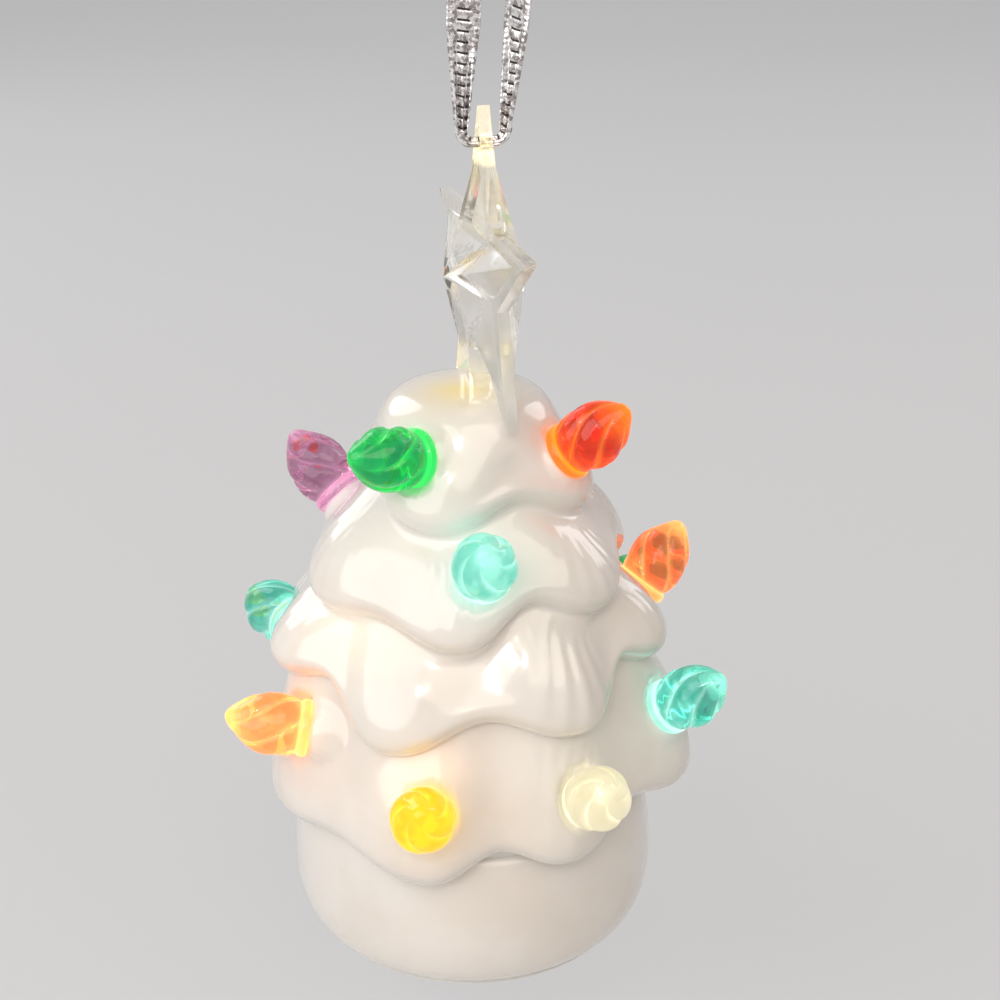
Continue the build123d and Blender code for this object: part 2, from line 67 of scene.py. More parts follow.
# %% [markdown]
# ## Camera
# The photograph was taken close by and a little from above. Euler angles would do, but a matrix of
# the camera's three axes says plainly where right, up and back point, and takes the small roll of
# the hand-held shot without guessing about the order of turns.

# %% Camera
camera_place = np.array([0.0000355, -0.166226, 0.00416])
camera_tilt = np.radians(23.325)
camera_roll = np.radians(-0.314)
camera_lens = 62.33

ahead = np.array([0, np.cos(camera_tilt), -np.sin(camera_tilt)])
level = np.array([1.0, 0, 0])
above = np.cross(level, ahead)
right_axis = level * np.cos(camera_roll) + above * np.sin(camera_roll)
up_axis = above * np.cos(camera_roll) - level * np.sin(camera_roll)

camera_data = bpy.data.cameras.new("camera")
camera_data.sensor_width = 36
camera_data.lens = camera_lens
camera_data.clip_start = 0.01
camera = add_object("camera", camera_data)
camera.matrix_world = placed([right_axis, up_axis, -ahead], camera_place)
scene.camera = camera
print("camera lens", camera_lens, "mm, tilted", round(float(np.degrees(camera_tilt)), 2), "degrees")

# %% [markdown]
# ## From grids to meshes
# Every piece below is a grid of points: rows along it, columns around it. One helper turns grids
# into faces. Where a row shrinks to a point, one vertex closes it with triangles.

# %% Grid helpers
def grid_faces(rows, columns):
    """Quads between neighbouring rows and columns; the last column joins the first."""
    i, j = np.meshgrid(np.arange(rows - 1), np.arange(columns), indexing="ij")
    k = (j + 1) % columns
    quads = np.stack([i * columns + j, (i + 1) * columns + j, (i + 1) * columns + k, i * columns + k], -1)
    return quads.reshape(-1, 4)


def fan_faces(ring_start, columns, pole, downward):
    """Triangles from one pole vertex to each edge of a ring."""
    j = np.arange(columns)
    k = (j + 1) % columns
    ends = (ring_start + j, ring_start + k) if downward else (ring_start + k, ring_start + j)
    return np.stack([np.full(columns, pole), *ends], -1)


def enclosed(points, faces):
    """Signed volume of a closed mesh: the sum of a . (b x c) / 6 over its triangles."""
    a, b, c = (points[faces[:, column]] for column in (0, 1, 2))
    return np.sum(a * np.cross(b, c)) / 6


def add_piece(name, grids, tags=None):
    """One mesh from several closed grids of (points, first pole, last pole), with point attributes.
    A grid whose signed volume is negative is inside out, so its faces are turned."""
    vertices, faces, count = [], [], 0
    for points, *poles in grids:
        rows, columns = points.shape[:2]
        flat = [points.reshape(-1, 3)] + [np.reshape(pole, (1, 3)) for pole in poles if pole is not None]
        quads = grid_faces(rows, columns)
        fans, ring_starts = [], (0, (rows - 1) * columns)
        for pole, ring_start in zip(poles, ring_starts):
            if pole is not None:
                fans.append(fan_faces(ring_start, columns, rows * columns + len(fans), ring_start == 0))
        local = np.concatenate(flat)
        halves = [quads[:, [0, 1, 2]], quads[:, [0, 2, 3]]]
        turn = -1 if enclosed(local - local.mean(0), np.concatenate(halves + fans)) < 0 else 1
        for group in [quads] + fans:
            faces += (count + group[:, ::turn]).tolist()
        vertices.append(local)
        count += len(local)
    mesh = bpy.data.meshes.new(name)
    mesh.from_pydata(np.concatenate(vertices).tolist(), [], faces)
    for tag, values in (tags or {}).items():
        kind, key = ("FLOAT", "value") if values.ndim == 1 else ("FLOAT_VECTOR", "vector")
        layer = mesh.attributes.new(tag, kind, "POINT")
        layer.data.foreach_set(key, values.astype(np.float32).ravel())
    mesh.polygons.foreach_set("use_smooth", np.ones(len(mesh.polygons), bool))
    mesh.update()
    return add_object(name, mesh)


# The place where the loop hangs, in mm from the tree's axis and underside
hang_point = np.array([3.2715, 0.9258, 115.1])


def to_frame(points):
    """Millimetres from the tree's own axis and underside, moved to the hanging frame in metres."""
    return (np.asarray(points) - hang_point) * 0.001


# %% [markdown]
# ## Ribbon
# The tree hangs on a loop of silver ribbon: two beaded bands joined by rungs with slots between
# them, gathered where it passes through the star and under its knot. An image of a ribbon would
# look painted on, so the strip is a closed thin surface whose beads stand up from it, carried along
# points that are read from a smooth spline.

# %% Ribbon route
star_azimuth = np.radians(15.8)
across = np.array([np.sin(star_azimuth), -np.cos(star_azimuth), 0])
through = np.array([np.cos(star_azimuth), np.sin(star_azimuth), 0])
upward = np.array([0, 0, 1.0])
star_shift, star_height, eye_height = 2.0, 72.1, 85.1
eye = through * star_shift + upward * eye_height
ribbon_width, ribbon_half_thickness = 3.4, 0.09
# A strand's foot, out and up from the eye, and its top, out from the hanging point
strand_foot, strand_start, strand_top = 2.224, 0.96, 0.6
loop_bows = {-1: 1.2, 1: 2.0}
route_steps = 48
route_shares = np.array([0, 0.32, 0.62, 0.86, 1.0])
route_bows = np.array([0, 0.55, 1.0, 0.62, 0])


def spline_points(route):
    """Points along the smooth spline whose control points are the route, read from a curve."""
    curve = bpy.data.curves.new("route", "CURVE")
    curve.dimensions = "3D"
    curve.resolution_u = route_steps
    spline = curve.splines.new("NURBS")
    spline.points.add(len(route) - 1)
    spline.points.foreach_set("co", np.column_stack([route, np.ones(len(route))]).ravel())
    spline.order_u = 3
    spline.use_endpoint_u = True
    holder = bpy.data.objects.new("route", curve)
    mesh = bpy.data.meshes.new_from_object(holder)
    points = np.empty(len(mesh.vertices) * 3)
    mesh.vertices.foreach_get("co", points)
    bpy.data.objects.remove(holder)
    bpy.data.meshes.remove(mesh)
    bpy.data.curves.remove(curve)
    return points.reshape(-1, 3)


def even_steps(line, count):
    """The same line, with its points at equal distances along it."""
    run = np.concatenate([[0], np.cumsum(np.linalg.norm(np.diff(line, axis=0), axis=1))])
    place = np.linspace(0, run[-1], count)
    return np.column_stack([np.interp(place, run, line[:, axis]) for axis in range(3)]), place


def strand_route(side):
    """The strand's control points: from the eye, bowed outwards, to the knot."""
    foot = eye + through * side * strand_foot + upward * strand_start
    top = hang_point + through * side * strand_top
    straight = foot + (top - foot) * route_shares[:, None]
    return to_frame(straight + through * side * loop_bows[side] * route_bows[:, None])


routes = {side: spline_points(strand_route(side)) for side in (-1, 1)}
lengths = [even_steps(line, 200)[1][-1] * 1000 for line in routes.values()]
print("strand lengths, mm:", np.round(lengths, 2).tolist())

# %% Ribbon strip
slot_pitch, slot_skew = 1.0, 0.22
bead_pitch, bead_skew = 0.5, 0.25
bead_height, rung_height = 0.13, 0.10
pleat_height = 0.34
# Shares of the half width: where a band starts, the middle of its beads, and half the beads' width
band_share, bead_middle, bead_half = 0.42, 0.71, 0.29


def weave_height(a, v):
    """Height of the weave at a share a across and v mm along: beads |sin v| on a band under a cosine
    hump across it, and in the middle rungs, a clipped cosine of v, ribbed by |sin a|."""
    on_band = np.clip((np.abs(a) - band_share) / 0.08, 0, 1)
    lane = np.cos(np.pi * (np.abs(a) - bead_middle) / bead_half) * 0.5 + 0.5
    bead = np.abs(np.sin(np.pi * (v + bead_skew * np.sign(a) + 0.5 * np.abs(a)) / bead_pitch))
    rung = np.clip(np.cos(2 * np.pi * (v + slot_skew * a) / slot_pitch) * 1.6 + 1.25, 0, 1)
    ribs = 0.7 + 0.3 * np.abs(np.sin(3 * np.pi * a / band_share))
    return bead_height * on_band * (0.35 + 0.65 * bead * lane) + rung_height * (1 - on_band) * rung * ribs


def weave_tags(a, v, side):
    """Place across, place along and side at each point of a grid, and again at its two poles."""
    tags = np.stack(np.broadcast_arrays(a, v, side), -1).reshape(-1, 3)
    return np.concatenate([tags, tags[[0, -1]]])


def strip_grid(line, broad, widths, half_count=26, step_mm=0.1):
    """A thin closed strip along a line: each row goes over the upper side and back along the lower.
    Where it is narrower than the ribbon, the spare width stands in pleats."""
    length = np.linalg.norm(np.diff(line, axis=0), axis=1).sum() * 1000
    rows = int(length / step_mm)
    centre, place = even_steps(line, rows)
    share = place / place[-1]
    along = unit(np.gradient(centre, axis=0))
    wide = unit(broad - along * (along @ broad)[:, None])
    face = np.cross(wide, along)
    a = np.concatenate([np.linspace(-1, 1, half_count), np.linspace(1, -1, half_count)])
    turned = np.concatenate([np.ones(half_count), -np.ones(half_count)])
    v = place[:, None] * 1000
    w = np.interp(share, *widths)[:, None]
    spare = np.sqrt(np.clip(ribbon_width ** 2 - w ** 2, 0, None)) / ribbon_width
    pleat = pleat_height * spare * np.cos(2.5 * np.pi * a)
    rim = np.sqrt(np.clip(1 - np.abs(a) ** 14, 0.02, 1))
    lift = turned * (ribbon_half_thickness + weave_height(a, v) * (1 - 0.5 * spare)) * rim
    grid = (
        centre[:, None] + wide[:, None] * (0.5 * w * a * 0.001)[..., None]
        + face[:, None] * ((pleat + lift) * 0.001)[..., None])
    return (grid, centre[0], centre[-1]), weave_tags(a, v, turned)


def turned_broad(turn):
    """The ribbon's broad direction, turned about the upright by an angle."""
    angle = np.radians(turn)
    return through * np.cos(angle) + across * np.sin(angle)


# Share of the way, and width: gathered at the eye, full by a third, gathered again at the knot
strand_widths = [0, 0.10, 0.34, 0.88, 1.0], [1.25, 1.9, ribbon_width, ribbon_width, 1.7]
strand_turns = {-1: ("ribbon_strand_left", -4), 1: ("ribbon_strand_right", 62)}
strands = {}
for side, (name, turn) in strand_turns.items():
    strip, tag = strip_grid(routes[side], turned_broad(turn), strand_widths)
    strands[side] = add_piece(name, [strip], {"weave": tag})
    print(name, len(strands[side].data.polygons), "faces")

# %% [markdown]
# ## Gathered ribbon in the star's eye, and the knot
# In the star the ribbon is squeezed into a soft rope with deep pleats. The knot above is an overhand
# knot: slanting turns of ribbon round both strands, with two cut ends. Rope and turns are tubes whose
# radius is a formula of the place along and around.

# %% Eye bunch and knot
bunch_low, bunch_high = 0.1, 1.25
bunch_waist, bunch_flare = 0.52, 0.12
knot_rise, knot_half, knot_radius = 2.033, 2.5, 2.15
tail_lean = np.radians(50)
tail_reach = np.array([0.6, 3.2, 5.8, 8.0])
tail_rise = np.array([0, 0.35, 0.3, -0.5])
tail_sway = np.array([0, 0.1, 0.3, 0.5])
tail_widths = [0, 0.25, 0.5, 1.0], [1.6, 2.4, 3.3, ribbon_width]


def pleated_tube(line, radius, pleats, depth, skew, sides=60):
    """A tube along a line, with a radius for each row less a depth of |sin(pleats/2 angle)|, turned
    slowly by skew along it."""
    along = unit(np.gradient(line, axis=0))
    first = unit(np.cross(along, across))
    second = np.cross(along, first)
    share = np.linspace(0, 1, len(line))[:, None]
    phi = np.linspace(0, 2 * np.pi, sides, endpoint=False)
    wrinkle = 1 - depth * np.abs(np.sin(0.5 * pleats * phi + skew * share))
    ring = first[:, None] * np.cos(phi)[None, :, None] + second[:, None] * np.sin(phi)[None, :, None]
    grid = line[:, None] + ring * (radius[:, None] * wrinkle * 0.001)[..., None]
    span = np.linalg.norm(np.diff(line, axis=0), axis=1).sum() * 1000
    return (grid, line[0], line[-1]), weave_tags((phi / np.pi - 1) * 0.95, share * span, 1.0)


bunch_route = to_frame(np.array([
    eye + through * side * strand_foot + upward * rise
    for side, rise in ((-1, bunch_high), (-1, bunch_low), (0, 0), (1, bunch_low), (1, bunch_high))]))
bunch_line, bunch_place = even_steps(spline_points(bunch_route), 70)
bunch_share = bunch_place / bunch_place[-1]
bunch_radius = bunch_waist + bunch_flare * np.abs(2 * bunch_share - 1) ** 3
bunch_grid, bunch_tag = pleated_tube(bunch_line, bunch_radius, 10, 0.30, 1.5)
bunch = add_piece("ribbon_bunch", [bunch_grid], {"weave": bunch_tag})


def knot_grid(rows=72, sides=96):
    """A barrel along the through direction, with slanting turns of ribbon as ridges round it."""
    share = np.linspace(-1, 1, rows + 2)[1:-1, None]
    phi = np.linspace(0, 2 * np.pi, sides, endpoint=False)
    barrel = knot_radius * np.sqrt(np.clip(1 - np.abs(share) ** 3.2, 0, 1))
    turns = np.abs(np.sin(1.5 * np.pi * share + 0.5 * phi + 0.4 * np.sin(phi)))
    creases = np.abs(np.sin(7 * np.pi * share + 3 * np.sin(phi + 1)))
    radius = barrel * (0.86 + 0.13 * turns ** 0.6 + 0.02 * creases)
    centre = hang_point + upward * knot_rise
    ring = across * np.cos(phi)[:, None] + upward * np.sin(phi)[:, None]
    grid = centre + through * (knot_half * share)[..., None] + ring * radius[..., None]
    ends = to_frame([centre - through * knot_half, centre + through * knot_half])
    return (to_frame(grid), *ends), weave_tags(0.9 * np.sin(0.5 * phi + 3 * share), 6 * phi, 1.0)


def tail_line(side):
    """A cut end of the ribbon: out of the knot's middle, leaning to one side and drooping a little."""
    centre = hang_point + upward * knot_rise
    outward = across * np.sin(side * tail_lean) + upward * np.cos(tail_lean)
    curl = upward * tail_rise[:, None] + through * tail_sway[:, None] * side
    return spline_points(to_frame(centre + outward * tail_reach[:, None] + curl))


tails = [strip_grid(tail_line(side), turned_broad(0), tail_widths) for side in (-1, 1)]
knot_parts = [knot_grid()] + tails
knot = add_piece("ribbon_knot_wraps", [part[0] for part in knot_parts], {
    "weave": np.concatenate([part[1] for part in knot_parts])})
print("knot and tails:", len(knot.data.polygons), "faces; bunch:", len(bunch.data.polygons), "faces")

# %% Ribbon in the frame
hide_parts("ribbon_left")
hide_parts("ribbon_right")
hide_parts("ribbon_eye")
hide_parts("ribbon_knot")
ribbon_pieces = (strands[-1], strands[1], bunch, knot)
for ribbon_piece in ribbon_pieces:
    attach(ribbon_piece, "hanger")
print("ribbon rides on the hanger")

# %% [markdown]
# ## Ceramic tree
# The tree is one hollow casting: four skirts of drooping branches under a rounded crown. Each lip
# runs out and down at a branch and in and up at the notch between two. A sculpted mesh would give
# the softness but not the sizes, so the profile is a list of rows, each with its radius and height
# for every azimuth, and a B-spline down the rows gives the poured softness.

# %% Tree profile
tree_columns, tree_steps = 480, 5
azimuth = np.arange(tree_columns) * 360 / tree_columns
crown_height = 60.8
crown_low, crown_round = 5.1, 4.2
crown_flat, crown_steps = (0.05, 3.2), np.radians([20, 50, 80])
lip_round = 1.8
lip_overhang, lip_tuck = 2.8, 0.55
lip_roll, lip_fullness, lip_crease = 2.3, 1.06, 0.4
# Under each lip: how far it rolls in degrees, and how far in and up its fold lies.
# Glaze has filled the upper folds
folds = ((60, 0.9, -0.6), (64, 1.2, -0.45), (80, 1.9, -0.1), (100, 2.8, 0.55))
roll_shares = np.array([0, 0.35, 0.70, 1.0])
# How far the glaze is drawn in between two branches, in mm, at each of the slope's rows
hollows = (0.45, 0.95, 0.70)
neck = (18.0, 16.0)
slope_shares = ((0.38, 0.22), (0.74, 0.48), (0.95, 0.76))
notch_power = 2.4
# Creases, in degrees from their branch: pitch, and the shares of it at the top and added by the fall
crease_pitch, crease_top, crease_spread, crease_phase = 6.6, 0.40, 0.75, 0.7
ridge_height, ridge_width = 3.0, 6.5
# A tier: reach and height of its lip, how far its notches go in and up, and its branches as azimuth,
# extra reach, droop, height of the fan of creases on that branch in mm, and depth of the notch after it
tiers = [
    (12.4, 50.0, 2.2, 2.8, [
        (-16, 0, 0.45, 0.0, 0.85), (76, 0.27, 0.5, 0.05, 1), (150, 0, 0, 0.08, 1), (222, 0, 0, 0.08, 1)]),
    (17.3, 39.4, 2.0, 2.8, [
        (-62, 0.10, -0.14, 0.02, 0.5), (-3, 0, 0.36, 0.03, 1), (52, 0.20, -0.29, 0.06, 1),
        (112, 0, 0, 0.1, 1), (172, 0, 0.14, 0.1, 1), (236, 0, 0, 0.1, 1)]),
    (20.7, 29.0, 2.0, 2.8, [
        (-70, 0.45, -1.15, 0.03, 1), (-25, 0, 0.36, 0.0, 1), (36, 0, -0.07, 0.10, 1),
        (74, 0.25, -1.35, 0.05, 1), (118, 0, -0.4, 0.1, 1), (165, 0, 0.14, 0.1, 1),
        (213, 0, -0.14, 0.1, 1), (252, 0.10, -0.36, 0.1, 1)]),
    (22.6, 15.2, 1.8, 2.2, [
        (-70, -0.2, -0.14, 0.02, 0.65), (-12, 0, 0.23, 0.0, 1), (29, -0.17, -0.18, 0.06, 1),
        (78, 0.78, -0.95, 0.08, 1), (126, 0, -0.18, 0.1, 1), (176, 0, 0.09, 0.1, 1),
        (232, 0, -0.09, 0.1, 1)]),
]


def lip_line(tier, angle):
    """Lip radius and height at every angle: a cosine blend between neighbouring branches, less a notch,
    a power of sin(pi share). Also the creases' height, the angle from the nearest branch, and the notch."""
    reach, height, notch_in, notch_up, branches = tier
    order = np.array(sorted((place % 360, *rest) for place, *rest in branches))
    first = np.searchsorted(order[:, 0], angle % 360, side="right") - 1
    second = (first + 1) % len(order)
    gap = (order[second, 0] - order[first, 0]) % 360
    past = (angle - order[first, 0]) % 360
    share = past / gap
    blend = ((1 - np.cos(np.pi * share)) / 2)[:, None]
    valley = np.sin(np.pi * share) ** notch_power
    dip = order[first, 4] * valley
    extra, droop, crease = (order[first, 1:4] * (1 - blend) + order[second, 1:4] * blend).T
    from_branch = np.where(share < 0.5, past, past - gap)
    return (
        reach + notch_in * (extra - dip), height - notch_up * (droop - dip),
        crease * (1 - valley) ** 2, from_branch, dip)


def tree_rows(angle, glazed=True):
    """Rows from crown to neck: radius, height, crease height, angle from the branch, and fall. Glaze
    rounds the lips, fills the folds and is drawn in between branches; without it the lips are plain."""
    level, none = np.ones_like(angle), np.zeros_like(angle)
    rows = [(radius * level, crown_height * level, none, none, none) for radius in crown_flat]
    for step in crown_steps:
        rows.append((
            (crown_low + crown_round * np.sin(step)) * level,
            (crown_height - crown_round * (1 - np.cos(step))) * level, none, none, none))
    start_radius, start_height = rows[-1][:2]
    for tier, (rolled, fold_in, fold_up) in zip(tiers, folds):
        out, up, crease, from_branch, dip = lip_line(tier, angle)
        for (reach_share, drop_share), hollow in zip(slope_shares, hollows):
            rows.append((
                start_radius + (out - start_radius) * reach_share - glazed * hollow * dip,
                start_height + (up + lip_round - start_height) * drop_share,
                crease, from_branch, drop_share * level))
        start_radius, start_height = out - lip_overhang, up + lip_tuck
        if not glazed:
            plain_lip = ((out, up + lip_round), (out - lip_round, up), (start_radius, start_height))
            rows += [(*place, none, from_branch, level) for place in plain_lip]
            continue
        for turn in np.radians(rolled * roll_shares):
            rows.append((
                out - lip_roll * (1 - lip_fullness * np.cos(turn)),
                up + lip_roll * (1 - lip_fullness * np.sin(turn)),
                lip_crease * crease * np.cos(turn), from_branch, level))
        rows.append((out - fold_in, up + fold_up, none, from_branch, level))
    rows.append((neck[0] * level, neck[1] * level, none, none, none))
    return np.moveaxis(np.array(rows), 1, 2)


def spline_rows(rows, steps):
    """Cubic B-spline down the rows: each new row is a weighted mean of four neighbouring rows."""
    padded = np.concatenate([rows[:1].repeat(2, 0), rows, rows[-1:].repeat(2, 0)])
    t = np.arange(steps)[:, None] / steps
    weights = np.hstack([
        (1 - t) ** 3, 3 * t ** 3 - 6 * t ** 2 + 4, 1 + 3 * t + 3 * t ** 2 - 3 * t ** 3, t ** 3]) / 6
    windows = np.lib.stride_tricks.sliding_window_view(padded, 4, axis=0)
    smooth = np.einsum("sk,rabk->rsab", weights, windows).reshape(-1, *rows.shape[1:])
    return np.concatenate([smooth, rows[-1:]])


def creased(rows):
    """Radius with its fan of creases: a cosine of the angle from the branch, spreading as the branch
    falls, and a soft ridge, a bell curve, along the branch itself."""
    radius, height, crease, from_branch, fall = np.moveaxis(rows, 2, 0)
    spread = crease_pitch * (crease_top + crease_spread * fall)
    ridge = ridge_height * np.exp(-(from_branch / ridge_width) ** 2)
    return radius + crease * (np.cos(2 * np.pi * from_branch / spread + crease_phase) + ridge), height


def polar(radius, height, angle):
    """A point at a radius and height; angle 0 is towards -Y and grows towards +X."""
    turn = np.radians(angle)
    return np.stack(np.broadcast_arrays(radius * np.sin(turn), -radius * np.cos(turn), height), -1)


control_rows = tree_rows(azimuth)
outer_radius, outer_height = creased(spline_rows(control_rows, tree_steps))
print("tree profile:", len(control_rows), "rows, smoothed to", len(outer_radius))

# %% [markdown]
# ## Where the bulbs sit
# Nineteen bulbs are pushed into holes in the glaze. One list of their places and aims gives the
# bulbs, the flats that their collars sit on, and the light that is painted on the glaze near them.

# %% Bulb seats
tier_depths = (10.8, 10.6, 10.4, 13.8)
# A bulb: its tier, azimuth and share of the tier's depth, and the azimuth and elevation of its aim
bulb_places = {
    "bulb_1_green": (1, -30, 0.58, -47, 13), "bulb_2_red": (1, 66, 0.48, 68, 38),
    "bulb_3_teal": (1, 186, 0.22, 186, 5), "bulb_4_purple": (2, -105, 0.77, -121, 40),
    "bulb_5_teal": (2, 6.5, 0.65, 4, 37), "bulb_6_amber": (2, 146, 0.55, 146, 28),
    "bulb_7_clear": (2, 202, 0.53, 202, 30), "bulb_8_orange": (3, 106, 0.63, 114, 50),
    "bulb_9_green": (3, 127, 0.26, 120, 4), "bulb_10_yellow": (3, 172, 0.48, 172, 30),
    "bulb_11_red": (3, 216, 0.52, 216, 30), "bulb_12_teal": (3, 259, 0.28, 222, 4),
    "bulb_13_orange": (4, -57, 0.88, -86, 11), "bulb_14_yellow": (4, -12, 0.53, 2, 36),
    "bulb_15_clear": (4, 35, 0.54, 12, 35), "bulb_16_teal": (4, 72, 0.87, 54, 38),
    "bulb_17_purple": (4, 142, 0.54, 142, 30), "bulb_18_green": (4, 176, 0.49, 176, 30),
    "bulb_19_amber": (4, 228, 0.52, 228, 30),
}
seat_depth = 0.5


def slope_radius(angle, height):
    """Largest radius of the plain profile at an angle and height, by linear steps between its rows."""
    radius, level = tree_rows(np.array([float(angle)]), glazed=False)[:, 0, :2].T
    falling = (level[1:] <= height) & (height <= level[:-1]) & (level[:-1] > level[1:])
    share = (level[:-1] - height) / np.where(falling, level[:-1] - level[1:], 1)
    return np.max(np.where(falling, radius[:-1] + (radius[1:] - radius[:-1]) * share, 0))


def bulb_seat(tier, angle, share, aim, elevation):
    """Foot of a bulb and the direction in which it points, in the tree's millimetres."""
    height = tiers[tier - 1][1] + share * tier_depths[tier - 1]
    rise = np.radians(elevation)
    direction = polar(np.cos(rise), np.sin(rise), aim)
    return polar(slope_radius(angle, height), height, angle) - direction * seat_depth, direction


seats = {name: bulb_seat(*place) for name, place in bulb_places.items()}
bulb_colours = {name: name.split("_")[-1] for name in bulb_places}
print("bulb seats:", len(seats))

# %% [markdown]
# ## Glaze surface, with its seats and its glow
# The grid of the tree is bent flat under every collar. A lamp inside shines through the bulbs, and
# its light on the glaze is painted: the colour of each bulb near it, a warm glow under two of the
# lips and at the star's foot. That painted light is kept with the surface as attributes.

# %% Glaze surface
bulb_light = {
    "green": (0.05, 0.75, 0.22), "red": (1.0, 0.16, 0.03), "teal": (0.14, 0.55, 0.46),
    "purple": (0.85, 0.40, 0.80), "amber": (1.0, 0.45, 0.05), "clear": (0.34, 0.30, 0.18),
    "orange": (1.0, 0.30, 0.06), "yellow": (1.0, 0.38, 0.10),
}
# Painted warm glow under two lips: azimuth, height and radius of its middle, how far it spreads, and its
# colour
painted_lip_glows = [(-46, 38.0, 14.6, 3.2, (0.26, 0.17, 0.06)), (-10, 27.4, 18.0, 2.2, (0.16, 0.06, 0.02))]
lip_glow_squash = (0.55, 0.55, 1.0)
# Light at a collar: its strength, how far from the middle it starts, and its fall; then a wide halo
collar_glow, collar_reach, collar_fall = 0.11, 2.9, 0.8
halo_glow, halo_spread = 0.05, 6.0
star_foot = across * 1.5 - through * 1.2 + upward * crown_height
star_foot_spread, star_foot_glow = 3.6, 0.16
star_foot_light = np.array([1.0, 0.74, 0.20])
# Round a bulb's axis in mm: radius and soft edge of the recess and of the boss, and how far each goes
recess_radius, recess_edge, recess_limit = 3.65, 0.4, 4.0
boss_radius, boss_edge, boss_limit, boss_fade = 3.5, 1.1, 8.0, 1.5
seat_rise = 0.1


def seat_flats(points):
    """Points near a bulb's axis move down to the plane of its collar where they stand above it, in a
    recess; those that lie below it rise to it, in a boss with a softer edge. Both fade by a smooth step."""
    for foot, direction in seats.values():
        apart = points - foot
        height = apart @ direction
        off_axis = np.linalg.norm(apart - height[..., None] * direction, axis=-1)
        recess, boss = (recess_radius - off_axis) / recess_edge, (boss_radius - off_axis) / boss_edge
        near = np.clip(np.where(height > seat_rise, recess, boss), 0, 1)
        near *= (height < recess_limit) * np.clip((height + boss_limit) / boss_fade, 0, 1)
        points = points - (near * near * (3 - 2 * near) * (height - seat_rise))[..., None] * direction
    return points


def painted_star_foot_pool(points):
    """Painted light pool at the star's foot, where the lamp shows through the glaze: a bell curve of the
    distance.
    """
    return np.exp(-(np.linalg.norm(points - star_foot, axis=-1) / star_foot_spread) ** 2)


def glow_colours(points):
    """Painted light on the glaze: for each bulb its colour, falling off as a bell curve from its collar,
    then the painted warm glows under two lips and at the star's foot.
    """
    glow = np.zeros(points.shape)
    for name, (foot, direction) in seats.items():
        distance = np.linalg.norm(points - foot - direction, axis=-1)
        fall = collar_glow * np.exp(-(np.clip(distance - collar_reach, 0, None) / collar_fall) ** 2)
        fall += halo_glow * np.exp(-(distance / halo_spread) ** 2)
        glow += fall[..., None] * np.array(bulb_light[bulb_colours[name]])
    for angle, height, radius, spread, colour in painted_lip_glows:
        distance = np.linalg.norm((points - polar(radius, height, angle)) * lip_glow_squash, axis=-1)
        glow += np.exp(-(distance / spread) ** 2)[..., None] * np.array(colour)
    return glow + star_foot_glow * painted_star_foot_pool(points)[..., None] * star_foot_light


# Radius and height of the hollow inside, from the neck up
inner_profile = np.array([
    (16.4, 16.0), (14.4, 16.0), (13.2, 27.0), (10.6, 40.8), (7.0, 50.0), (5.1, 56.6), (0.05, 56.6)])
outer_points = seat_flats(polar(outer_radius, outer_height, azimuth))
inner_points = polar(inner_profile[:, :1], inner_profile[:, 1:], azimuth)
tree_points = np.concatenate([outer_points, inner_points])
tree_glow = glow_colours(tree_points).reshape(-1, 3)
tree_foot_pool_light = painted_star_foot_pool(tree_points).ravel()
tree_ends = to_frame([(0, 0, crown_height), (0, 0, inner_profile[-1, 1])])
# Painted light kept as attributes: the glow, and the light pool at the star's foot
tree = add_piece("glazed_tree", [(to_frame(tree_points), *tree_ends)], {
    "glow": np.concatenate([tree_glow, tree_glow[[0]], tree_glow[[-1]] * 0]),
    "foot_pool_lit_share": np.append(tree_foot_pool_light, [tree_foot_pool_light[0], 0])})
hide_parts("tree_shell")
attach(tree, "ornament")
print("glazed tree:", len(tree.data.polygons), "faces")

# %% [markdown]
# ## Ceramic base
# The base is a squat drum, cast and glazed with the tree. Its wall is two quarter ellipses that meet
# at the belly. A lathe would give it too, but a closed loop of rows round the axis takes a slight
# hand-made unevenness in the same formula.

# %% Base drum
drum_radius, belly_swell = 17.8, 2.1
belly_height, below_belly, above_belly = 6.2, 5.4, 9.8
drum_mouth = np.array([
    (17.2, 16.0), (15.6, 16.0), (15.4, 15.8), (15.4, 1.0), (15.6, 0.8), (17.4, 0.8), (17.65, 0.84)])
base_columns = 240


def drum_rows(angle):
    """Loop of rows: up two quarter ellipses outside, over the top, down the mouth and back below."""
    lower = np.linspace(0, np.pi / 2, 26)[:, None]
    upper = np.linspace(0, np.pi / 2, 34)[1:, None]
    turn = np.radians(angle)
    wobble = 0.06 * np.sin(2 * turn + 0.7) + 0.04 * np.sin(3 * turn + 2.0)
    height = np.concatenate([
        belly_height - below_belly * np.cos(lower), belly_height + above_belly * np.sin(upper)])
    swell = np.concatenate([np.sin(lower), np.cos(upper)])
    outside = drum_radius + belly_swell * swell + swell * wobble
    radius = np.concatenate([outside, np.tile(drum_mouth[:, :1], (1, len(angle)))])
    level = np.tile(np.concatenate([height, drum_mouth[:, 1:]]), (1, len(angle)))
    return np.stack([radius, level], -1)


base_angle = np.arange(base_columns) * 360 / base_columns
base_rows = drum_rows(base_angle)[::-1]
base_points = polar(base_rows[..., 0], base_rows[..., 1], base_angle)
base_points = np.concatenate([base_points, base_points[:1]])
base = add_piece("glazed_base", [(to_frame(base_points), None, None)])
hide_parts("base_ring")
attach(base, "ornament")
print("glazed base:", len(base.data.polygons), "faces")

# %% [markdown]
# ## Twisted bulbs
# Each bulb is a moulded plastic flame: a peg, a plain collar, then broad lobes that twist towards a
# blunt tip. The radius is a profile along the bulb times a groove pattern that turns as it rises. An
# attribute keeps the light painted on each place in it.

